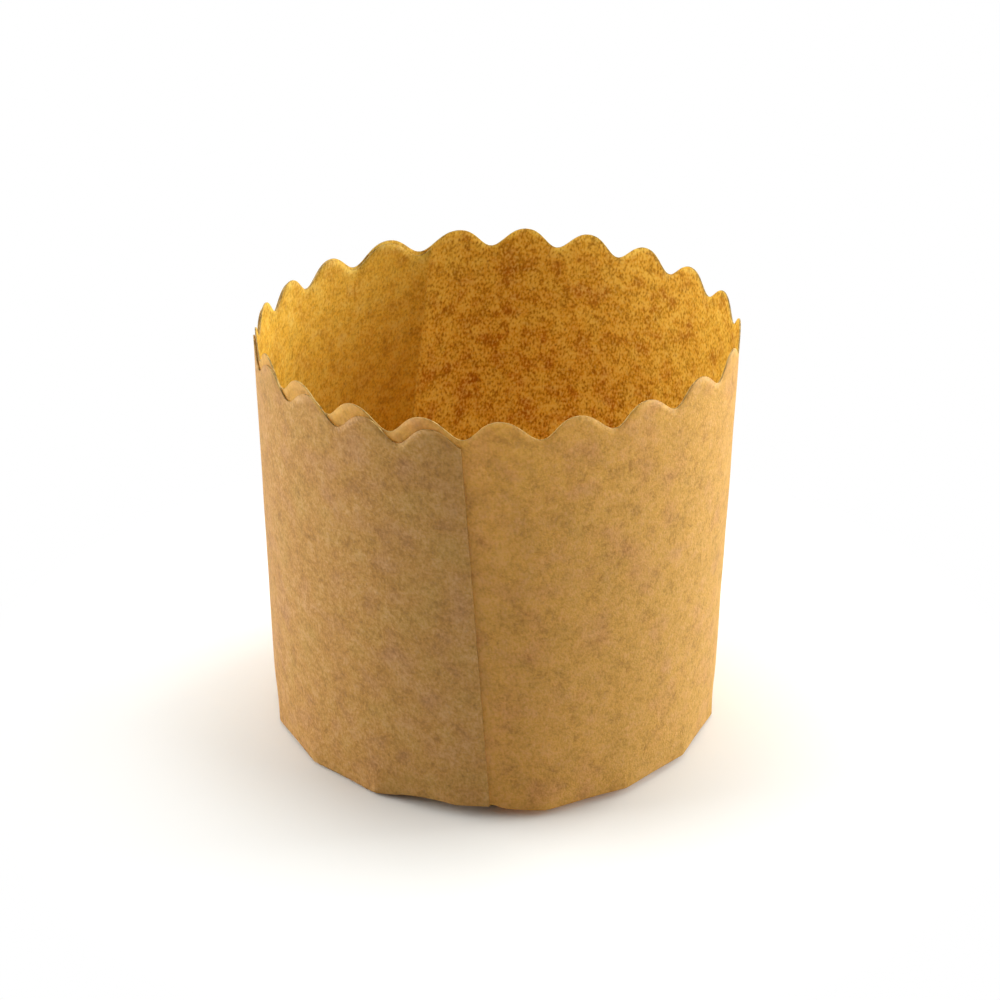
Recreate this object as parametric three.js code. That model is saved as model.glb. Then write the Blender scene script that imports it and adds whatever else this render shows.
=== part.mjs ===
// A panettone paper mold: one strip of brown baking paper, rolled into a cup and glued where it
// overlaps, with a scalloped rim and a pleated hem folded in under a round paper base.
// Millimetres, +Z up, standing on z = 0 with its centre line on the Z axis.
// Turns are in degrees, counted from the front (-Y) towards the right (+X).
import * as THREE from "three";

// Cup
const rimDiameter = 70; // outside, at the rim's mean height
const footDiameter = 68; // outside, across the corners of the foot
const wallHeight = 60.9; // from the table to the rim's mean height
const paperThickness = 0.2;

// Waves by which the hand-opened rim is out of round: how many, how large, and the side they bulge to
const rimWaves = [
  { count: 1, size: 0.3, towards: 90 },
  { count: 2, size: 0.3, towards: -16 },
  { count: 3, size: 0.15, towards: 22 },
  { count: 4, size: 0.25, towards: -15 },
];
const rimDent = { turn: -115, halfWidth: 40, size: 0.6 }; // where the rim is pressed in a little

// Scalloped edge, cut along the strip at an even pitch
const scallopPitch = 10.5;
const scallopHeight = 2.8;
const crestFullness = 0.12; // above 0, crests are broader than troughs
const firstCrestTurn = 1.3;
const pointsPerScallop = 7;

// Stretches where the scallops run ahead of the even pitch, because the paper has been pulled about
const scallopShifts = [
  { turn: -132, halfWidth: 62, size: 3 },
  { turn: -62, halfWidth: 30, size: -0.5 },
  { turn: 115, halfWidth: 70, size: 0.8 },
  { turn: 214, halfWidth: 32, size: 1.6 },
  { turn: 245, halfWidth: 42, size: 1.9 },
  { turn: 318, halfWidth: 42, size: 1.5 },
];

// Overlap: the strip starts inside at the back left and ends outside at the front
const innerEndTurn = -163.5; // at the rim
const innerEndSlant = 14; // how far the cut edge turns from rim to foot
const outerEndTurn = 352.5;
const outerEndSlant = 6.5;
const plyGap = 0.1; // glue and air between the two plies
const stepLength = 8; // length over which the paper steps down beside the outer end
const outerPlySag = 1.5; // how far the outer ply's edge has slipped down
const sagLength = 55; // length over which it comes down
const innerPlySag = 0.5; // and the inner ply's edge, as far as the outer end
const innerSagLength = 30; // length over which that one comes back up

// Foot: straight facets between the pleats, and a bend into the hem
const facetCount = 17;
const facetHeight = 7; // the facets have faded into the round wall at this height
const firstCornerTurn = 12;
const bendRadius = 0.7;
const bendSteps = 3;
const facetLift = 0.1; // the middle of each facet stands off the table by this

// Where the foot is pushed outwards
const footBulges = [
  { turn: 15, halfWidth: 60, size: 1 },
  { turn: 4, halfWidth: 27, size: 0.7 },
];

// Stretches of the foot that are raised off the table
const arches = [
  { start: -34, end: 90, riseLength: 8, fallLength: 40, lift: 0.8 },
  { start: -27, end: 3.5, riseLength: 9, fallLength: 2.5, lift: 0.7 }, // more beside the outer end
];

// Hem: folded in, with knife pleats that lean as they run inwards
const hemWidth = 9;
const hemSettleLength = 2.6; // the lifted edge is down on the table after this
const pleatDepth = 0.5; // the fold that is hidden in each pleat
const pleatGrowLength = 3;
const pleatFoldWidth = 0.6;
const pleatFlatShare = 0.6; // this share of each panel is flat before it rises over the next fold
const pleatLean = 5; // sideways run of a pleat from fold to hem edge

// Base: a plain round paper disc, laid in on the hem
const baseThickness = 0.4;
const baseSideClearance = 0.3;
const restGap = 0.3;

// Worked out from the above
const rimRadius = rimDiameter / 2;
const cornerRadius = footDiameter / 2;
const facetTurn = 360 / facetCount;
const flatRadius = cornerRadius * Math.cos(THREE.MathUtils.degToRad(facetTurn / 2));
const plyStep = paperThickness + plyGap;
const stripStart = innerEndTurn + innerEndSlant;
const stripEnd = outerEndTurn + outerEndSlant;

const { degToRad, radToDeg, lerp, smoothstep, clamp } = THREE.MathUtils;

// A smooth hump over a stretch of turns: 1 in its middle, 0 at its ends
function hump(turn, stretch) {
  const away = clamp((turn - stretch.turn) / stretch.halfWidth, -1, 1);
  return Math.cos((Math.PI / 2) * away) ** 2;
}

// The same turn, counted within half a circle of another
function turnNear(turn, other) {
  return turn - 360 * Math.round((turn - other) / 360);
}

// Turn, in degrees, of a length run along the foot
function footTurn(length) {
  return radToDeg(length / cornerRadius);
}

// How far round the facet a turn lies: 0 at one corner, 1 at the next
function facetShare(turn) {
  const facets = (turn - firstCornerTurn) / facetTurn;
  return facets - Math.floor(facets);
}

// How far the foot is pushed outwards
function bulgeAt(turn) {
  let bulge = 0;
  for (const stretch of footBulges) {
    bulge += stretch.size * hump(turnNear(turn, stretch.turn), stretch);
  }
  return bulge;
}

// Distance from the centre line to a facet's face
function facetRadius(turn) {
  const fromMiddle = (facetShare(turn) - 0.5) * facetTurn;
  return flatRadius / Math.cos(degToRad(fromMiddle)) + bulgeAt(turn);
}

// Outermost radius of the wall: facets at the foot, nearly round above them
function wallRadius(turn, height) {
  const footRadius = (flatRadius + cornerRadius) / 2 + bulgeAt(turn);
  const round = lerp(footRadius, rimRadiusAt(turn), height / wallHeight);
  return lerp(facetRadius(turn), round, clamp(height / facetHeight, 0, 1));
}

function rimRadiusAt(turn) {
  let radius = rimRadius;
  for (const wave of rimWaves) {
    radius += wave.size * Math.cos(wave.count * degToRad(turn - wave.towards));
  }
  return radius - rimDent.size * hump(turnNear(turn, rimDent.turn), rimDent);
}

// Height of the foot's edge over the table
function footLift(turn) {
  let lift = facetLift * Math.sin(Math.PI * facetShare(turn)) ** 2;
  for (const arch of arches) {
    const nearest = turnNear(turn, (arch.start + arch.end) / 2);
    const rising = smoothstep(nearest, arch.start, arch.start + footTurn(arch.riseLength));
    const falling = 1 - smoothstep(nearest, arch.end - footTurn(arch.fallLength), arch.end);
    lift += arch.lift * rising * falling;
  }
  return lift;
}

// Turns of the strip's columns at the foot: a pair beside each corner, and even steps between
function columnTurns() {
  const fold = footTurn(pleatFoldWidth);
  const scallopTurn = radToDeg(scallopPitch / rimRadius);
  const steps = Math.ceil((facetTurn - fold) / (scallopTurn / pointsPerScallop));
  const firstFacet = Math.floor((stripStart - firstCornerTurn) / facetTurn);
  const lastFacet = Math.ceil((stripEnd - firstCornerTurn) / facetTurn);
  const margin = fold / 2;
  const turns = [stripStart];
  for (let facet = firstFacet; facet < lastFacet; facet += 1) {
    const corner = firstCornerTurn + facet * facetTurn;
    for (let step = 0; step <= steps; step += 1) {
      const turn = corner + fold / 2 + ((facetTurn - fold) * step) / steps;
      if (turn > stripStart + margin && turn < stripEnd - margin) {
        turns.push(turn);
      }
    }
  }
  turns.push(stripEnd);
  return turns;
}

// The cut ends slant, so a column turns back by this much from foot to rim
function slantAt(turn) {
  return lerp(innerEndSlant, outerEndSlant, (turn - stripStart) / (stripEnd - stripStart));
}

// How deep under the outermost ply the strip lies. rise is 0 at the foot and 1 at the rim
function plyDepth(turn, rise) {
  const seam = stripEnd - 360 - outerEndSlant * rise;
  return plyStep * (1 - smoothstep(turn, seam + 1, seam + 1 + footTurn(stepLength)));
}

// How far the scallops run ahead of the even pitch
function shiftAt(turn) {
  let shift = 0;
  for (const stretch of scallopShifts) {
    shift += stretch.size * hump(turn, stretch);
  }
  return shift;
}

// Length run along the rim from the first crest, to each of the columns' turns at the rim
function rimLengths(turns) {
  const lengths = [0];
  for (let i = 1; i < turns.length; i += 1) {
    const radius = rimRadiusAt((turns[i] + turns[i - 1]) / 2);
    lengths.push(lengths[i - 1] + degToRad(turns[i] - turns[i - 1]) * radius);
  }
  let after = 1;
  while (turns[after] < firstCrestTurn) {
    after += 1;
  }
  const share = (firstCrestTurn - turns[after - 1]) / (turns[after] - turns[after - 1]);
  const crest = lerp(lengths[after - 1], lengths[after], share);
  return lengths.map((length, i) => length - crest - shiftAt(turns[i]));
}

// Height of the scalloped edge, from the length run along the rim and the turn
function edgeHeight(length, turn) {
  const phase = (2 * Math.PI * length) / scallopPitch;
  const wave = Math.cos(phase) + crestFullness * (1 - Math.cos(2 * phase));
  const sagStart = innerEndTurn + 360;
  const sag = outerPlySag * smoothstep(turn, sagStart, sagStart + footTurn(sagLength));
  const seam = outerEndTurn - 360;
  const innerSag = innerPlySag * (1 - smoothstep(turn, seam - footTurn(innerSagLength), seam));
  return wallHeight + (wave * scallopHeight) / 2 - sag - innerSag;
}

// Section through the strip at one column, from the rim to the hem's inner edge.
// depth is 0 for the outer face and the paper's thickness for the inner one.
function columnSection(turn, edge, depth) {
  const points = [];
  const slant = slantAt(turn);
  const lift = footLift(turn);
  const foot = facetRadius(turn);
  const bendHeight = lift + bendRadius;

  const put = (radius, height, pointTurn) => {
    const angle = degToRad(pointTurn);
    points.push(new THREE.Vector3(radius * Math.sin(angle), -radius * Math.cos(angle), height));
  };

  // Wall: from the edge down to the bend
  for (const height of [edge, (edge + facetHeight) / 2, facetHeight, bendHeight]) {
    const rise = height / wallHeight;
    const pointTurn = turn - slant * rise;
    put(wallRadius(pointTurn, height) - plyDepth(pointTurn, rise) - depth, height, pointTurn);
  }

  // Bend
  const under = plyDepth(turn, 0) + depth;
  for (let step = 1; step <= bendSteps; step += 1) {
    const angle = (Math.PI / 2) * (step / bendSteps);
    const radius = foot - bendRadius + (bendRadius - under) * Math.cos(angle);
    put(radius, bendHeight - (bendRadius - under) * Math.sin(angle), turn);
  }

  // Hem: down to the table, then flat, rising over the hidden fold of the next pleat
  const risen = smoothstep(facetShare(turn), pleatFlatShare, 1 - footTurn(pleatFoldWidth) / facetTurn / 2);
  for (const run of [hemSettleLength, pleatGrowLength, hemWidth - bendRadius]) {
    const down = lift * (1 - clamp(run / hemSettleLength, 0, 1));
    const pleat = pleatDepth * risen * clamp(run / pleatGrowLength, 0, 1);
    const radius = foot - bendRadius - run;
    const lean = radToDeg((pleatLean * run) / (hemWidth * radius));
    put(radius, under + down + pleat, turn + lean);
  }
  return points;
}

// Closed solid of a strip with an outer and an inner face, each a grid of columns and rows
function stripGeometry(outer, inner) {
  const columns = outer.length;
  const rows = outer[0].length;
  const points = [...outer.flat(), ...inner.flat()];
  const indices = [];
  const out = (column, row) => column * rows + row;
  const into = (column, row) => columns * rows + column * rows + row;
  const quad = (a, b, c, d) => indices.push(a, b, c, a, c, d);

  for (let i = 0; i + 1 < columns; i += 1) {
    for (let j = 0; j + 1 < rows; j += 1) {
      quad(out(i, j), out(i, j + 1), out(i + 1, j + 1), out(i + 1, j));
      quad(into(i, j), into(i + 1, j), into(i + 1, j + 1), into(i, j + 1));
    }
    quad(out(i, 0), out(i + 1, 0), into(i + 1, 0), into(i, 0));
    quad(out(i, rows - 1), into(i, rows - 1), into(i + 1, rows - 1), out(i + 1, rows - 1));
  }
  for (let j = 0; j + 1 < rows; j += 1) {
    quad(out(0, j), into(0, j), into(0, j + 1), out(0, j + 1));
    const last = columns - 1;
    quad(out(last, j), out(last, j + 1), into(last, j + 1), into(last, j));
  }

  const geometry = new THREE.BufferGeometry().setFromPoints(points);
  geometry.setIndex(indices);
  geometry.computeVertexNormals();
  return geometry;
}

function sideWall() {
  const turns = columnTurns();
  const rimTurns = turns.map((turn) => turn - slantAt(turn));
  const lengths = rimLengths(rimTurns);
  const edges = rimTurns.map((turn, i) => edgeHeight(lengths[i], turn));
  const outer = turns.map((turn, i) => columnSection(turn, edges[i], 0));
  const inner = turns.map((turn, i) => columnSection(turn, edges[i], paperThickness));
  const paper = new THREE.MeshStandardMaterial({ color: "#c4965a", roughness: 0.85, metalness: 0 });
  const mesh = new THREE.Mesh(stripGeometry(outer, inner), paper);
  mesh.name = "side_wall";
  return mesh;
}

function baseDisc() {
  const hemTop = plyStep + paperThickness + pleatDepth;
  const radius = flatRadius - bendRadius - hemSettleLength - baseSideClearance;
  const geometry = new THREE.CylinderGeometry(radius, radius, baseThickness, 4 * facetCount);
  geometry.rotateX(Math.PI / 2);
  const paper = new THREE.MeshStandardMaterial({ color: "#b5813f", roughness: 0.8, metalness: 0 });
  const mesh = new THREE.Mesh(geometry, paper);
  mesh.name = "base_disc";
  mesh.position.z = hemTop + restGap + baseThickness / 2;
  return mesh;
}

const mold = new THREE.Group();
mold.name = "panettone_paper_mold";
mold.add(sideWall(), baseDisc());

export default mold;
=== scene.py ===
# %% [markdown]
# # A paper mold for panettone
#
# The mold is one strip of brown baking paper, rolled up and glued where it laps over itself. Its upper
# edge is cut in scallops, and its lower edge is pleated and folded in under a round paper base.
#
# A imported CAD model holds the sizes. This script loads it, builds a finer wall and base in the same place,
# gives the paper its colour and fibres, and sets up a floor, soft lamps and a camera. Sizes are in
# millimetres and turns in degrees, from the front (-Y) towards the right (+X), until a mesh is finished.

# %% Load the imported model
import functools
import math

import bpy
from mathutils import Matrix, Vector


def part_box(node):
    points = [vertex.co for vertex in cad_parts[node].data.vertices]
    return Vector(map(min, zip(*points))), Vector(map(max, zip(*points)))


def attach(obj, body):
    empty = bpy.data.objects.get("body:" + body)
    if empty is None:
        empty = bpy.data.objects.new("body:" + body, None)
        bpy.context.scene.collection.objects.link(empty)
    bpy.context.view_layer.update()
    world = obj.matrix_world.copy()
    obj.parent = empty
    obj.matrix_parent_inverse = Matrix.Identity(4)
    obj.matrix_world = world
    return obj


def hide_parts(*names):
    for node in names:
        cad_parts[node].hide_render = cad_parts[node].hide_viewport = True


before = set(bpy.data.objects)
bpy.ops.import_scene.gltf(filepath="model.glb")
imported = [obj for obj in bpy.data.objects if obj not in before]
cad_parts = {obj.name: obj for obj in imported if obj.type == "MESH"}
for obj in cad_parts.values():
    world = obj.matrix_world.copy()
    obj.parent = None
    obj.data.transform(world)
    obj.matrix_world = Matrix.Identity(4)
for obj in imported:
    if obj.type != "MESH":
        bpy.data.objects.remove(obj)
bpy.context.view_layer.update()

# %% [markdown]
# ## Helpers
#
# Both the shape and the finish are made by node trees. One function adds a node, changes its settings and
# feeds its inputs, so that a tree reads as a list of steps. Colours are written as they look on a screen,
# and a shader wants them linear, so one function turns them.

# %% Adding nodes, and colours
MATH = "ShaderNodeMath"
MAP_RANGE = "ShaderNodeMapRange"
MM = 0.001


def add_node(tree, kind, inputs=(), **settings):
    """Adds a node. inputs go in by order, or by name from a dict: a node, a socket or a plain value."""
    node = tree.nodes.new(kind)
    for name, value in settings.items():
        setattr(node, name, value)
    for key, value in inputs.items() if isinstance(inputs, dict) else enumerate(inputs):
        if isinstance(value, bpy.types.Node):
            value = value.outputs[0]
        if isinstance(value, bpy.types.NodeSocket):
            tree.links.new(value, node.inputs[key])
        elif value is not None:
            node.inputs[key].default_value = value
    return node


def linear(hex_colour):
    """A colour written as sRGB hex, such as "c49a62", as the linear RGBA that shaders use."""
    parts = [int(hex_colour[i : i + 2], 16) / 255 for i in (0, 2, 4)]
    return [x / 12.92 if x <= 0.04045 else ((x + 0.055) / 1.055) ** 2.4 for x in parts] + [1.0]


print("helpers ready, baking paper brown is", [round(x, 3) for x in linear("c49a62")[:3]])

# %% [markdown]
# ## Camera
#
# The camera stands where the photographer's stood: in front of the mold, about 27 degrees above the
# table, with a long lens. Its place was worked out from the rim's ellipse, the sides' taper and the foot.

# %% Set up the camera
CAMERA_DISTANCE = 355.3
CAMERA_ELEVATION = 27.32
LOOK_AT_HEIGHT = 32.75
LENS = 85.97
FRAME_SHIFT = 0.0052  # the mold stands a little left of the picture's middle


def set_up_camera():
    data = bpy.data.cameras.new("Camera")
    data.lens = LENS
    data.sensor_width = 36
    data.shift_x = FRAME_SHIFT
    camera = bpy.data.objects.new("Camera", data)
    bpy.context.scene.collection.objects.link(camera)
    bpy.context.scene.camera = camera
    climb = math.radians(CAMERA_ELEVATION)
    back = Vector((0, -math.cos(climb), math.sin(climb)))
    camera.location = (Vector((0, 0, LOOK_AT_HEIGHT)) + back * CAMERA_DISTANCE) * MM
    camera.rotation_euler = (-back).to_track_quat("-Z", "Y").to_euler()
    return camera


camera = set_up_camera()
print("camera at", [round(x, 3) for x in camera.location])

# %% [markdown]
# ## The wall's sizes
#
# These are the sizes that the CAD model was made from, so that the finer wall keeps its form. The first
# table holds what the whole strip shares, and becomes the named inputs of the node tree. The lists below it
# hold the places where a hand-opened paper cup is out of true.

# %% Sizes of the strip
FACETS = 17
SHAPE = {
    "Rim diameter": 70.0,
    "Foot diameter": 68.0,
    "Wall height": 60.9,
    "Paper thickness": 0.2,
    "Ply step": 0.3,  # one paper and the glue under it
    "Ply step length": 8.0,
    "Scallop pitch": 10.5,
    "Scallop height": 2.8,
    "Crest fullness": 0.12,
    "Outer ply sag": 1.5,
    "Inner ply sag": 0.5,
    "Facet turn": 360 / FACETS,
    "First corner": 12.0,
    "Facet height": 7.0,
    "Facet lift": 0.1,
    "Bend radius": 0.7,
    "Hem run": 8.3,
    "Hem settle run": 2.6,
    "Pleat depth": 0.5,
    "Pleat grow run": 3.0,
    "Pleat lean": 35.0,  # sideways slope of a pleat, in degrees
    "Fold turn": 0.25,  # turn that a pleat's fold takes up
    "Cockle": 0.12,  # how far the paper's faint waves stand out
}
START_TURN, START_SLANT = -149.5, 14.0  # inner end at the foot, and how far it turns back up to the rim
END_TURN, END_SLANT = 359.0, 6.5  # the same for the outer end
RIM_WAVES = [(1, 0.3, 90), (2, 0.3, -16), (3, 0.15, 22), (4, 0.25, -15)]  # count, size, towards
RIM_DENT = (-115, 40, 0.6)  # middle turn, half width, size
FOOT_BULGES = [(15, 60, 1.0), (4, 27, 0.7)]
SCALLOP_SHIFTS = [(-132, 62, 3.0), (-62, 30, -0.5), (115, 70, 0.8), (214, 32, 1.6), (245, 42, 1.9), (318, 42, 1.5)]
ARCHES = [(-34, 90, 13.5, 67.4, 0.8), (-27, 3.5, 15.2, 4.2, 0.7)]  # start, end, rise, fall, lift
FIRST_CREST = 1.3
OUTER_SAG_TURNS = (196.5, 289.2)
INNER_SAG_TURNS = (-58.1, -7.5)
PLEAT_FLAT_SHARE = 0.6

# %% Mesh counts
HEM_ROWS, BEND_ROWS, WALL_ROWS = 9, 6, 50
COLUMNS_PER_FACET = 25
FIRST_FACET = math.floor((START_TURN - SHAPE["First corner"]) / SHAPE["Facet turn"])
LAST_FACET = math.ceil((END_TURN - SHAPE["First corner"]) / SHAPE["Facet turn"])
COUNTS = {
    "Columns": (LAST_FACET - FIRST_FACET) * COLUMNS_PER_FACET,
    "Rows": HEM_ROWS + BEND_ROWS + WALL_ROWS + 1,
}
print("strip mesh", COUNTS, "for", round(END_TURN - START_TURN), "degrees of strip")

# %% [markdown]
# ## How the strip is shaped
#
# The wall follows a rule: how far round, how far up, and which ply. A modeller could bend a flat strip with
# modifiers, but a node tree can state the rule itself, so Geometry Nodes move each point of a plain grid.
# Columns of the grid run round the cup and rows run from the hem's inner edge up to the rim.
#
# The functions below each add the nodes for one feature, in the words that a maker would use.


# %% Humps and waves round the cup
def hump(put, turn, spot, all_plies=False):
    """A smooth rise and fall round the middle of a spot: its size there, and nothing past its half width."""
    middle, half_width, size = spot
    away = put(MATH, (turn, middle), operation="SUBTRACT")
    if all_plies:
        away = put(MATH, (away, 180, -180), operation="WRAP")
    angle = put(MAP_RANGE, (away, -half_width, half_width, -math.pi / 2, math.pi / 2))
    wave = put(MATH, (angle,), operation="COSINE")
    wave = put(MATH, (wave, wave), operation="MULTIPLY")
    return put(MATH, (wave, size), operation="MULTIPLY")


def rim_radius(put, size, turn):
    """Radius of the rim, a circle with a few low waves and one dent."""
    radius = put(MATH, (size["Rim diameter"], 2), operation="DIVIDE")
    for count, swell, towards in RIM_WAVES:
        away = put(MATH, (turn, towards), operation="SUBTRACT")
        angle = put(MATH, (away, math.radians(count)), operation="MULTIPLY")
        wave = put(MATH, (angle,), operation="COSINE")
        radius = put(MATH, (wave, swell, radius), operation="MULTIPLY_ADD")
    dent = hump(put, turn, RIM_DENT, all_plies=True)
    return put(MATH, (radius, dent), operation="SUBTRACT")


def length_along_rim(put, size, turn):
    """Length of edge from the first crest to a turn, over the same waves."""
    radius = put(MATH, (size["Rim diameter"], 2), operation="DIVIDE")
    ahead = put(MATH, (turn, FIRST_CREST), operation="SUBTRACT")
    angle = put(MATH, (ahead,), operation="RADIANS")
    length = put(MATH, (angle, radius), operation="MULTIPLY")
    for count, swell, towards in RIM_WAVES:
        at_crest = math.sin(math.radians(count * (FIRST_CREST - towards)))
        away = put(MATH, (turn, towards), operation="SUBTRACT")
        angle = put(MATH, (away, math.radians(count)), operation="MULTIPLY")
        wave = put(MATH, (angle,), operation="SINE")
        gained = put(MATH, (wave, at_crest), operation="SUBTRACT")
        length = put(MATH, (gained, swell / count, length), operation="MULTIPLY_ADD")
    for spot in SCALLOP_SHIFTS:
        length = put(MATH, (length, hump(put, turn, spot)), operation="SUBTRACT")
    return length


# %% The scalloped edge
def scalloped_edge(put, size, turn):
    """Height of the cut edge: broad crests and narrower troughs, lower where a ply has slipped down."""
    length = length_along_rim(put, size, turn)
    share = put(MATH, (length, size["Scallop pitch"]), operation="DIVIDE")
    phase = put(MATH, (share, 2 * math.pi), operation="MULTIPLY")
    wave = put(MATH, (phase,), operation="COSINE")
    steep = put(MATH, (phase,), operation="SINE")
    steep = put(MATH, (steep, steep), operation="MULTIPLY")
    fullness = put(MATH, (size["Crest fullness"], 2), operation="MULTIPLY")
    wave = put(MATH, (steep, fullness, wave), operation="MULTIPLY_ADD")
    half_height = put(MATH, (size["Scallop height"], 2), operation="DIVIDE")
    height = put(MATH, (wave, half_height, size["Wall height"]), operation="MULTIPLY_ADD")
    outer = put(MAP_RANGE, (turn, *OUTER_SAG_TURNS, 0, size["Outer ply sag"]), interpolation_type="SMOOTHSTEP")
    inner = put(MAP_RANGE, (turn, *INNER_SAG_TURNS, size["Inner ply sag"], 0), interpolation_type="SMOOTHSTEP")
    height = put(MATH, (height, outer), operation="SUBTRACT")
    return put(MATH, (height, inner), operation="SUBTRACT")


# %% The faceted foot
def facet_share(put, size, turn):
    """How far round its facet a turn lies, from 0 at one corner to 1 at the next."""
    past = put(MATH, (turn, size["First corner"]), operation="SUBTRACT")
    facets = put(MATH, (past, size["Facet turn"]), operation="DIVIDE")
    return put(MATH, (facets,), operation="FRACT")


def facet_radius(put, size, turn):
    """Distance from the middle of the cup to the straight side of a facet."""
    half_turn = math.radians(SHAPE["Facet turn"] / 2)
    share = facet_share(put, size, turn)
    angle = put(MAP_RANGE, (share, 0, 1, -half_turn, half_turn))
    flat = put(MATH, (size["Foot diameter"], math.cos(half_turn) / 2), operation="MULTIPLY")
    return put(MATH, (flat, put(MATH, (angle,), operation="COSINE")), operation="DIVIDE")


def foot_lift(put, size, turn):
    """Height of the foot's edge over the table: facets stand off it a little, and the front more."""
    share = facet_share(put, size, turn)
    angle = put(MATH, (share, math.pi), operation="MULTIPLY")
    middle = put(MATH, (angle,), operation="SINE")
    middle = put(MATH, (middle, middle), operation="MULTIPLY")
    lift = put(MATH, (middle, size["Facet lift"]), operation="MULTIPLY")
    for start, end, rise, fall, high in ARCHES:
        past = put(MATH, (turn, (start + end) / 2), operation="SUBTRACT")
        near = put(MATH, (past, 180, -180), operation="WRAP")
        half = (end - start) / 2
        rising = put(MAP_RANGE, (near, -half, rise - half, 0, high), interpolation_type="SMOOTHSTEP")
        falling = put(MAP_RANGE, (near, half - fall, half, 1, 0), interpolation_type="SMOOTHSTEP")
        lift = put(MATH, (rising, falling, lift), operation="MULTIPLY_ADD")
    return lift


# %% Which ply lies outside
MM_PER_DEGREE = math.radians(SHAPE["Rim diameter"] / 2)


def ply_depth(put, size, turn, rise):
    """Depth of the strip under the outermost ply: one step inside, until it has come past the outer end."""
    seam = put(MATH, (rise, -END_SLANT, END_TURN - 360), operation="MULTIPLY_ADD")
    past = put(MATH, (turn, seam), operation="SUBTRACT")
    foot_radius = put(MATH, (size["Foot diameter"], 2), operation="DIVIDE")
    angle = put(MATH, (size["Ply step length"], foot_radius), operation="DIVIDE")
    steps = put(MATH, (angle,), operation="DEGREES")
    done = put(MATH, (steps, 1), operation="ADD")
    return put(MAP_RANGE, (past, 1, done, size["Ply step"], 0), interpolation_type="SMOOTHSTEP")


def covered(put, size, turn, height, rise):
    """Distance in from the nearest edge of the other ply that lies on this one: less than 0 if none does."""
    outer_end = put(MATH, (rise, -END_SLANT, END_TURN - 360), operation="MULTIPLY_ADD")
    inner_end = put(MATH, (rise, -START_SLANT, START_TURN + 360), operation="MULTIPLY_ADD")
    under = put(MATH, (outer_end, turn), operation="SUBTRACT")
    over = put(MATH, (turn, inner_end), operation="SUBTRACT")
    covers = []
    for past_end, whole_turn in ((under, 360), (over, -360)):
        length = put(MATH, (past_end, MM_PER_DEGREE), operation="MULTIPLY")
        same_place = put(MATH, (turn, whole_turn), operation="ADD")
        below_edge = put(MATH, (scalloped_edge(put, size, same_place), height), operation="SUBTRACT")
        covers.append(put(MATH, (length, below_edge), operation="MINIMUM"))
    return put(MATH, covers, operation="MAXIMUM")


# %% [markdown]
# ## The tree
#
# A grid point's number gives its column and row. The column gives its turn at the foot, with a pair of
# columns close together at every corner so that each pleat gets a crisp fold. The row gives how far it is
# along the hem, round the bend or up the wall. The tree stores two things for the paper's material: the
# place on the flat strip, so that fibres follow the paper, and where the paper is double.


# %% Columns and rows of the grid
def column_turn(put, size):
    """Turn of the point's column at the foot."""
    index = put("GeometryNodeInputIndex")
    column = put(MATH, (put(MATH, (index, size["Rows"]), operation="DIVIDE"),), operation="FLOOR")
    facets = put(MATH, (column, COLUMNS_PER_FACET), operation="DIVIDE")
    facet = put(MATH, (facets,), operation="FLOOR")
    corner = put(MATH, (facet, FIRST_FACET), operation="ADD")
    corner = put(MATH, (corner, size["Facet turn"], size["First corner"]), operation="MULTIPLY_ADD")
    step = put(MATH, (column, COLUMNS_PER_FACET), operation="FLOORED_MODULO")
    half_fold = put(MATH, (size["Fold turn"], 2), operation="DIVIDE")
    last = put(MATH, (size["Facet turn"], half_fold), operation="SUBTRACT")
    along = put(MAP_RANGE, (step, 0, COLUMNS_PER_FACET - 1, half_fold, last))
    turn = put(MATH, (corner, along), operation="ADD")
    return put("ShaderNodeClamp", (turn, START_TURN, END_TURN))


def row_place(put, size):
    """How far the point is in from the bend along the hem, round the bend, and up the wall."""
    index = put("GeometryNodeInputIndex")
    row = put(MATH, (index, size["Rows"]), operation="FLOORED_MODULO")
    bend_end = HEM_ROWS + BEND_ROWS
    hem = put(MAP_RANGE, (row, 0, HEM_ROWS, size["Hem run"], 0))
    bend = put(MAP_RANGE, (row, HEM_ROWS, bend_end, math.pi / 2, 0))
    wall = put(MAP_RANGE, (row, bend_end, bend_end + WALL_ROWS, 0, 1))
    return hem, bend, wall


# %% The wall's own radius
def wall_radius(put, size, turn, height, rise):
    """Radius of the outermost ply: facets low down that fade into a round wall."""
    half_turn = math.radians(SHAPE["Facet turn"] / 2)
    bulge = 0
    for spot in FOOT_BULGES:
        bulge = put(MATH, (hump(put, turn, spot, all_plies=True), bulge), operation="ADD")
    mean = put(MATH, (size["Foot diameter"], (1 + math.cos(half_turn)) / 4, bulge), operation="MULTIPLY_ADD")
    rim = rim_radius(put, size, turn)
    round_wall = put(MAP_RANGE, (rise, 0, 1, mean, rim), clamp=False)
    facet = put(MATH, (facet_radius(put, size, turn), bulge), operation="ADD")
    return put(MAP_RANGE, (height, 0, size["Facet height"], facet, round_wall), interpolation_type="SMOOTHSTEP")


def pleat_rise(put, size, turn, hem):
    """How far a panel of the hem has risen over the hidden fold of the next one."""
    share = facet_share(put, size, turn)
    risen = put(MAP_RANGE, (share, PLEAT_FLAT_SHARE, 1, 0, size["Pleat depth"]), interpolation_type="SMOOTHSTEP")
    grown = put(MAP_RANGE, (hem, 0, size["Pleat grow run"], 0, 1))
    return put(MATH, (risen, grown), operation="MULTIPLY")


# %% Faint waves in the paper
COCKLE_LENGTH = 14.0


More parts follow.
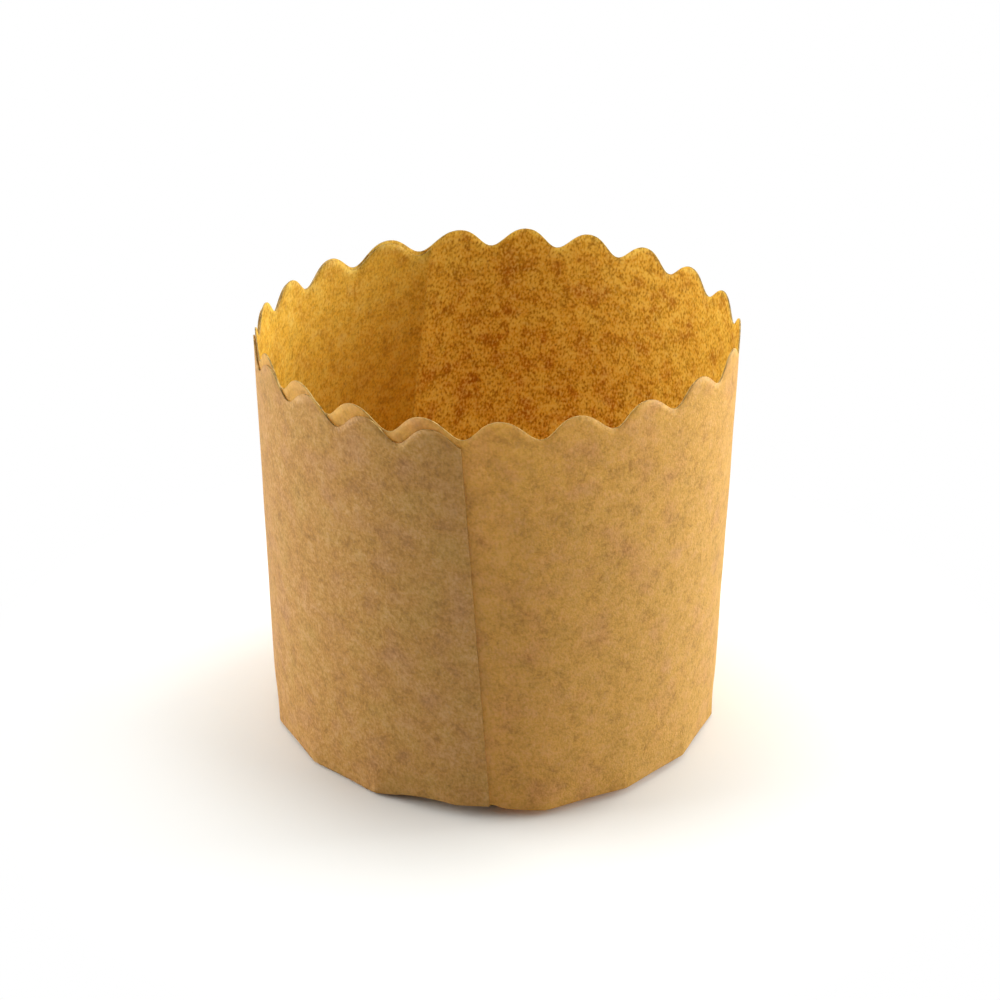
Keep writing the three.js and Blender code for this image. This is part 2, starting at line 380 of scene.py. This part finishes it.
def cockle(put, size, position, height):
    """Small waves over the wall, the same for both plies because they lie on each other."""
    noise = put(
        "ShaderNodeTexNoise",
        {"Vector": position, "Scale": 1 / COCKLE_LENGTH, "Detail": 1.0, "Roughness": 0.4},
    )
    centred = put(MATH, (noise, 0.5), operation="SUBTRACT")
    free = put(MAP_RANGE, (height, 4, 20, 0, size["Cockle"]), interpolation_type="SMOOTHSTEP")
    wave = put(MATH, (centred, 2), operation="MULTIPLY")
    return put(MATH, (wave, free), operation="MULTIPLY")


# %% The whole tree
def cup_point(put, turn, radius, height):
    """A point of the cup from its turn, radius and height."""
    angle = put(MATH, (turn,), operation="RADIANS")
    sideways = put(MATH, (put(MATH, (angle,), operation="SINE"), radius), operation="MULTIPLY")
    backwards = put(MATH, (put(MATH, (angle,), operation="COSINE"), radius), operation="MULTIPLY")
    forwards = put(MATH, (backwards, -1), operation="MULTIPLY")
    return put("ShaderNodeCombineXYZ", (sideways, forwards, height))


def place_points(put, size):
    """Where each point of the grid goes, its place on the flat strip, and how far the other ply covers it."""
    foot_turn = column_turn(put, size)
    hem, bend, wall = row_place(put, size)
    slant = put(MAP_RANGE, (foot_turn, START_TURN, END_TURN, START_SLANT, END_SLANT))
    rim_turn = put(MATH, (foot_turn, slant), operation="SUBTRACT")
    edge = scalloped_edge(put, size, rim_turn)
    lift = foot_lift(put, size, foot_turn)
    bend_height = put(MATH, (lift, size["Bend radius"]), operation="ADD")
    height = put(MAP_RANGE, (wall, 0, 1, bend_height, edge))
    rise = put(MATH, (height, size["Wall height"]), operation="DIVIDE")
    slanted = put(MATH, (slant, rise), operation="MULTIPLY")
    turn = put(MATH, (foot_turn, slanted), operation="SUBTRACT")

    depth = ply_depth(put, size, turn, rise)
    radius = put(MATH, (wall_radius(put, size, turn, height, rise), depth), operation="SUBTRACT")
    waves = cockle(put, size, cup_point(put, turn, radius, height), height)
    radius = put(MATH, (radius, waves), operation="ADD")

    bow = put(MATH, (size["Bend radius"], depth), operation="SUBTRACT")
    turned_in = put(MATH, (1, put(MATH, (bend,), operation="COSINE")), operation="SUBTRACT")
    inwards = put(MATH, (turned_in, bow, hem), operation="MULTIPLY_ADD")
    radius = put(MATH, (radius, inwards), operation="SUBTRACT")
    down = put(MATH, (put(MATH, (bend,), operation="SINE"), bow), operation="MULTIPLY")
    settled = put(MAP_RANGE, (hem, 0, size["Hem settle run"], 0, lift))
    low = put(MATH, (height, down), operation="SUBTRACT")
    low = put(MATH, (low, settled), operation="SUBTRACT")
    low = put(MATH, (low, pleat_rise(put, size, foot_turn, hem)), operation="ADD")

    slope = put(MATH, (put(MATH, (size["Pleat lean"],), operation="RADIANS"),), operation="TANGENT")
    sideways = put(MATH, (hem, slope), operation="MULTIPLY")
    lean = put(MATH, (put(MATH, (sideways, radius), operation="DIVIDE"),), operation="DEGREES")
    turn_in = put(MATH, (turn, lean), operation="ADD")
    position = cup_point(put, turn_in, radius, low)

    arc = put(MATH, (bend, size["Bend radius"]), operation="MULTIPLY")
    up = put(MATH, (height, put(MATH, (arc, hem), operation="ADD")), operation="SUBTRACT")
    foot_radius = put(MATH, (size["Foot diameter"], 2), operation="DIVIDE")
    along = put(MATH, (put(MATH, (foot_turn,), operation="RADIANS"), foot_radius), operation="MULTIPLY")
    flat = put("ShaderNodeCombineXYZ", (along, up, 0))
    return position, flat, covered(put, size, turn, height, rise)


def strip_tree(material):
    """The node tree that makes the rolled strip."""
    tree = bpy.data.node_groups.new("Rolled strip", "GeometryNodeTree")
    tree.interface.new_socket("Geometry", in_out="OUTPUT", socket_type="NodeSocketGeometry")
    for name in SHAPE:
        tree.interface.new_socket(name, in_out="INPUT", socket_type="NodeSocketFloat")
    for name in COUNTS:
        tree.interface.new_socket(name, in_out="INPUT", socket_type="NodeSocketInt")
    put = functools.partial(add_node, tree)
    size = {socket.name: socket for socket in put("NodeGroupInput").outputs}

    grid = put("GeometryNodeMeshGrid", (1, 1, size["Columns"], size["Rows"]))
    position, flat, cover = place_points(put, size)
    mesh = put("GeometryNodeStoreNamedAttribute", (grid, None, "flat_place", flat), data_type="FLOAT_VECTOR")
    mesh = put("GeometryNodeStoreNamedAttribute", (mesh, None, "cover", cover), data_type="FLOAT")
    mesh = put("GeometryNodeSetPosition", {"Geometry": mesh, "Position": position})
    mesh = put("GeometryNodeMergeByDistance", {"Geometry": mesh, "Distance": 0.001})
    mesh = put("GeometryNodeTransform", {"Geometry": mesh, "Scale": (MM, MM, MM)})
    mesh = put("GeometryNodeSetShadeSmooth", (mesh,))
    mesh = put("GeometryNodeRealizeInstances", (mesh,))
    mesh = put("GeometryNodeSetMaterial", {"Geometry": mesh, "Material": material})
    put("NodeGroupOutput", (mesh,))
    return tree


# %% [markdown]
# ## Paper
#
# The real sheet is brown baking paper, made from unbleached wood pulp. Seen against the light it is cloudy,
# because the fibres lie in small flocks, and long fibres show as fine hairs. The outside is calendered and
# plain. The inside is coated so that the loaf lets go of it, and where the paper is single the light comes
# through between the flocks.
#
# Every pattern is laid out on the flat strip in millimetres, because the paper was made flat.


# %% Patterns in the paper
def paper_pattern(put, place, length, seed, detail=0.0, stretch=(1, 1, 1)):
    """Noise with clouds of about a length in millimetres and finer ones in them, mostly from -1 to 1."""
    moved = put("ShaderNodeMapping", (place, (seed, -seed, seed), None, stretch))
    noise = put("ShaderNodeTexNoise", {"Vector": moved, "Scale": 1 / length, "Detail": detail, "Roughness": 0.9})
    return put(MAP_RANGE, (noise, 0.35, 0.65, -1, 1), clamp=False)


def tinted(put, colour, hex_colour, amount):
    """A colour mixed with another by an amount."""
    return put(
        "ShaderNodeMix", {0: amount, 6: colour, 7: linear(hex_colour)}, data_type="RGBA", clamp_factor=True
    ).outputs[2]


def flecked(put, colour, pattern, pale, deep, strength):
    """A colour that goes towards a pale one where a pattern is high, and a deep one where it is low."""
    colour = tinted(put, colour, pale, put(MAP_RANGE, (pattern, 0, 1, 0, strength), clamp=False))
    return tinted(put, colour, deep, put(MAP_RANGE, (pattern, 0, -1, 0, strength), clamp=False))


def new_material(name):
    """An empty material, and the function that adds nodes to it."""
    material = bpy.data.materials.new(name)
    material.use_nodes = True
    material.node_tree.nodes.clear()
    return material, functools.partial(add_node, material.node_tree)


def strip_place(put, blur=0.1):
    """The place on the flat strip in millimetres, and 1 where the paper is single, 0 where it is double."""
    place = put("ShaderNodeAttribute", attribute_name="flat_place").outputs["Vector"]
    cover = put("ShaderNodeAttribute", attribute_name="cover").outputs["Fac"]
    return place, put(MAP_RANGE, (cover, -blur, blur, 1, 0))


# %% Outside of the paper
SHARE_THROUGH = 0.4  # of the light that a face takes in, how much goes on through it
SHARE_THROUGH_GLUED = 0.2  # the same where a second ply is glued on


def outside_paper():
    """Unbleached baking paper, plain side: matte, tan, with faint clouds and fine hairs, painted lighter and
    yellower where the paper is single, as painted light shining through it, and greyer brown where it is double.
    """
    material, put = new_material("Baking paper outside")
    place, single = strip_place(put)
    clouds = paper_pattern(put, place, 5.0, 3.0, detail=1.0)
    flocks = paper_pattern(put, place, 2.0, 11.0, detail=3.0)
    hairs = paper_pattern(put, place, 0.3, 23.0, stretch=(1, 0.6, 1))

    # Painted light: where the paper is single its colour goes lighter and yellower, as if lit through from inside;
    # the double paper keeps the greyer brown.
    colour = tinted(put, linear("cc9746"), "d8b054", single)
    colour = flecked(put, colour, clouds, "c4906c", "c8a44c", 0.2)
    colour = flecked(put, colour, flocks, "ecc48c", "683a14", 0.3)
    colour = flecked(put, colour, hairs, "ecc48c", "683a14", 0.09)

    bump = put("ShaderNodeBump", {"Strength": 0.3, "Distance": 0.0001, "Height": flocks})
    paper = put("ShaderNodeBsdfPrincipled", {"Base Color": colour, "Roughness": 0.6, "IOR": 1.45, "Normal": bump})
    through = put("ShaderNodeBsdfTranslucent", {"Color": tinted(put, colour, "e8b878", 0.5)})
    share = put(MAP_RANGE, (single, 0, 1, SHARE_THROUGH_GLUED, SHARE_THROUGH))
    mixed = put("ShaderNodeMixShader", (share, paper, through))
    put("ShaderNodeOutputMaterial", {"Surface": mixed})
    return material


# %% Inside of the paper
def inside_paper():
    """The coated side: amber, with flocks that show light and dark where light comes through, painted lighter
    where the paper is double, as painted light sent back by the ply behind, and darker where it is single, as
    painted shade.
    """
    material, put = new_material("Baking paper inside")
    place, single = strip_place(put, blur=2.5)
    clouds = paper_pattern(put, place, 4.5, 5.0, detail=2.0)
    flocks = paper_pattern(put, place, 2.6, 13.0, detail=4.0)
    hairs = paper_pattern(put, place, 0.3, 29.0, stretch=(1, 0.6, 1))

    # Painted light and shade: the double paper is painted lighter, as if lit by light sent back from the ply
    # behind it, and the single paper darker.
    colour = tinted(put, linear("ecba34"), "d8b034", single)
    colour = flecked(put, colour, clouds, "b8681a", "f6dc68", 0.2)
    depth = put(MAP_RANGE, (single, 0, 1, 0.38, 0.2))
    colour = flecked(put, colour, flocks, "ffe484", "8e5208", depth)
    colour = flecked(put, colour, hairs, "ffe484", "8e5208", 0.12)
    glow = flecked(put, linear("fcd66c"), clouds, "b04a0c", "fff090", 0.8)
    glow = flecked(put, glow, flocks, "fff8b8", "7c3000", 0.85)
    glow = flecked(put, glow, hairs, "fff8b8", "7c3000", 0.45)

    bump = put("ShaderNodeBump", {"Strength": 0.3, "Distance": 0.0001, "Height": flocks})
    paper = put("ShaderNodeBsdfPrincipled", {"Base Color": colour, "Roughness": 0.65, "IOR": 1.3, "Normal": bump})
    through = put("ShaderNodeBsdfTranslucent", {"Color": glow})
    share = put(MAP_RANGE, (single, 0, 1, SHARE_THROUGH_GLUED, SHARE_THROUGH))
    mixed = put("ShaderNodeMixShader", (share, paper, through))
    put("ShaderNodeOutputMaterial", {"Surface": mixed})
    return material


# %% Cut edge of the paper
def cut_edge():
    """The cut edge shows the sheet's own fibres, a little darker than either face."""
    material, put = new_material("Cut paper edge")
    place, _ = strip_place(put)
    fibres = paper_pattern(put, place, 0.6, 41.0)
    colour = flecked(put, linear("a88848"), fibres, "c8a868", "6a5428", 0.4)
    paper = put("ShaderNodeBsdfPrincipled", {"Base Color": colour, "Roughness": 0.9, "IOR": 1.45})
    put("ShaderNodeOutputMaterial", {"Surface": paper})
    return material


outside, inside, edge = outside_paper(), inside_paper(), cut_edge()
print("materials", [material.name for material in (outside, inside, edge)])

# %% [markdown]
# ## The wall
#
# The tree runs once on an empty mesh. Its result becomes a plain mesh, and Solidify gives it the paper's
# thickness, inwards, with its own material on the inner face and on the cut edges.


# %% Make the wall
def make_wall():
    tree = strip_tree(outside)
    wall = bpy.data.objects.new("paper_wall", bpy.data.meshes.new("paper_wall"))
    bpy.context.scene.collection.objects.link(wall)
    modifier = wall.modifiers.new("Rolled strip", "NODES")
    modifier.node_group = tree
    values = SHAPE | COUNTS
    for item in tree.interface.items_tree:
        if item.in_out == "INPUT":
            modifier[item.identifier] = values[item.name]
    depsgraph = bpy.context.evaluated_depsgraph_get()
    mesh = bpy.data.meshes.new_from_object(wall.evaluated_get(depsgraph), depsgraph=depsgraph)
    wall.modifiers.clear()
    wall.data = mesh
    mesh.materials.clear()
    for material in (outside, inside, edge):
        mesh.materials.append(material)

    solid = wall.modifiers.new("Paper thickness", "SOLIDIFY")
    solid.thickness = SHAPE["Paper thickness"] * MM
    solid.offset = -1
    solid.material_offset = 1
    solid.material_offset_rim = 2
    return wall


wall = make_wall()
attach(wall, "root")
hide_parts("side_wall")
print("wall faces before its thickness", len(wall.data.polygons), list(wall.data.materials))

# %% [markdown]
# ## The base
#
# A round of the same paper lies on the pleats. A plain disc would look stamped from sheet metal, so it is a
# grid of rings that dips in the middle and is pressed into low ridges by the pleats under its edge.


# %% Make the base
BASE_RINGS = 24
BASE_SPOKES = FACETS * 8
BASE_DIP = 0.15
PLEAT_PRINT = 0.07
# The base counts as double paper everywhere, so it takes the double paper's painted tint of light and shade as
# well as its smaller share of light through.
BASE_COVER = 9.0  # the hem lies under it


def base_height(share, turn):
    """Height of the base's middle layer: a shallow dip, and ridges near the edge."""
    ridge = math.cos(math.radians((turn - SHAPE["First corner"]) * FACETS))
    return PLEAT_PRINT * ridge * share**4 - BASE_DIP * (1 - share**2)


def make_base():
    low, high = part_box("base_disc")
    radius = (high.x - low.x) / 2
    thickness = high.z - low.z
    top = high.z - PLEAT_PRINT * MM
    points = [(0, 0, top + base_height(0, 0) * MM)]
    for ring in range(1, BASE_RINGS + 1):
        share = ring / BASE_RINGS
        for spoke in range(BASE_SPOKES):
            turn = 360 * spoke / BASE_SPOKES
            angle = math.radians(turn)
            x = share * radius * math.sin(angle)
            y = -share * radius * math.cos(angle)
            points.append((x, y, top + base_height(share, turn) * MM))
    faces = []
    for spoke in range(BASE_SPOKES):
        beside = (spoke + 1) % BASE_SPOKES
        faces.append((0, 1 + spoke, 1 + beside))
        for ring in range(BASE_RINGS - 1):
            inner = 1 + ring * BASE_SPOKES
            outer = inner + BASE_SPOKES
            faces.append((inner + spoke, outer + spoke, outer + beside, inner + beside))
    mesh = bpy.data.meshes.new("paper_base")
    mesh.from_pydata(points, [], faces)
    mesh.polygons.foreach_set("use_smooth", [True] * len(faces))
    flat = mesh.attributes.new("flat_place", "FLOAT_VECTOR", "POINT")
    flat.data.foreach_set("vector", [x / MM for point in points for x in (point[0], point[1], 0)])
    cover = mesh.attributes.new("cover", "FLOAT", "POINT")
    cover.data.foreach_set("value", [BASE_COVER] * len(points))
    for material in (inside, outside, edge):
        mesh.materials.append(material)
    base = bpy.data.objects.new("paper_base", mesh)
    bpy.context.scene.collection.objects.link(base)
    solid = base.modifiers.new("Paper thickness", "SOLIDIFY")
    solid.thickness = thickness - 2 * PLEAT_PRINT * MM
    solid.offset = -1
    solid.material_offset = 1
    solid.material_offset_rim = 2
    return base


base = make_base()
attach(base, "root")
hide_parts("base_disc")
print("base faces before its thickness", len(base.data.polygons))

# %% [markdown]
# ## Floor and light
#
# The photograph has a white ground that fades into white all round. The floor is white paper. What the
# camera sees of it is partly plain white, so that it stays white to the edge and still takes the shadow.
# The light is a tent: a faint world that shows white to the camera, in gloss and through the paper, a large lamp
# on each side, one low behind at the right and one above, and less from the front.

# %% Floor
FLOOR_SIZE = 6.0
FLOOR_DROP = 0.02 * MM  # so that the hem, which touches it, shows clearly from below
FLOOR_FADE = (0.04, 0.085)  # from here to here it fades into plain white
FLOOR_COLOUR = (0.6, 0.6, 0.6, 1)
FLOOR_SEEN = (0.88, 0.885, 0.85, 1)


def make_floor():
    mesh = bpy.data.meshes.new("floor")
    half = FLOOR_SIZE / 2
    corners = [(-half, -half), (half, -half), (half, half), (-half, half)]
    mesh.from_pydata([(x, y, -FLOOR_DROP) for x, y in corners], [], [(0, 1, 2, 3)])
    material = bpy.data.materials.new("White floor")
    material.use_nodes = True
    tree = material.node_tree
    tree.nodes.clear()
    put = functools.partial(add_node, tree)
    path = put("ShaderNodeLightPath").outputs
    seen = put(MATH, (path["Is Camera Ray"], path["Is Glossy Ray"]), operation="MAXIMUM")
    seen = put(MATH, (seen, path["Is Transmission Ray"]), operation="MAXIMUM")
    lights = put("ShaderNodeBsdfDiffuse", {"Color": FLOOR_COLOUR})
    shows = put("ShaderNodeBsdfDiffuse", {"Color": FLOOR_SEEN})
    place = put("ShaderNodeTexCoord").outputs["Object"]
    away = put("ShaderNodeVectorMath", (place,), operation="LENGTH").outputs["Value"]
    white = put("ShaderNodeEmission", {"Color": (1, 1, 1, 1), "Strength": 1})
    fade = put(MAP_RANGE, (away, *FLOOR_FADE, 0, 1), interpolation_type="SMOOTHSTEP")
    shows = put("ShaderNodeMixShader", (fade, shows, white))
    put("ShaderNodeOutputMaterial", {"Surface": put("ShaderNodeMixShader", (seen, lights, shows))})
    mesh.materials.append(material)
    floor = bpy.data.objects.new("floor", mesh)
    bpy.context.scene.collection.objects.link(floor)
    return floor


floor = make_floor()

# %% World and lamps
WORLD_LIGHT = 0.08
LAMPS = {
    "left_lamp": {"at": (-1.0, 0.12, 0.4), "width": 0.8, "power": 12.4},
    "right_lamp": {"at": (1.0, -0.15, 0.35), "width": 0.8, "power": 7.8},
    "back_lamp": {"at": (0.9, 0.5, 0.25), "width": 0.8, "power": 17.0},
    "top_lamp": {"at": (0.0, 0.3, 1.15), "width": 0.8, "power": 10.0},
}
LAMPS_AIM = Vector((0, 0, 0.03))


def set_up_world():
    world = bpy.data.worlds.new("White room")
    bpy.context.scene.world = world
    world.use_nodes = True
    tree = world.node_tree
    tree.nodes.clear()
    put = functools.partial(add_node, tree)
    path = put("ShaderNodeLightPath").outputs
    seen = put(MATH, (path["Is Camera Ray"], path["Is Glossy Ray"]), operation="MAXIMUM")
    seen = put(MATH, (seen, path["Is Transmission Ray"]), operation="MAXIMUM")
    strength = put(MAP_RANGE, (seen, 0, 1, WORLD_LIGHT, 1))
    light = put("ShaderNodeBackground", {"Color": (1, 1, 1, 1), "Strength": strength})
    put("ShaderNodeOutputWorld", {"Surface": light})


def add_lamp(name, at, width, power):
    data = bpy.data.lights.new(name, "AREA")
    data.shape = "SQUARE"
    data.size = width
    data.energy = power
    lamp = bpy.data.objects.new(name, data)
    lamp.location = at
    lamp.rotation_euler = (LAMPS_AIM - Vector(at)).to_track_quat("-Z", "Y").to_euler()
    bpy.context.scene.collection.objects.link(lamp)


set_up_world()
for lamp_name, lamp in LAMPS.items():
    add_lamp(lamp_name, **lamp)
bpy.context.scene.view_settings.view_transform = "Standard"
print("lamps", list(LAMPS))
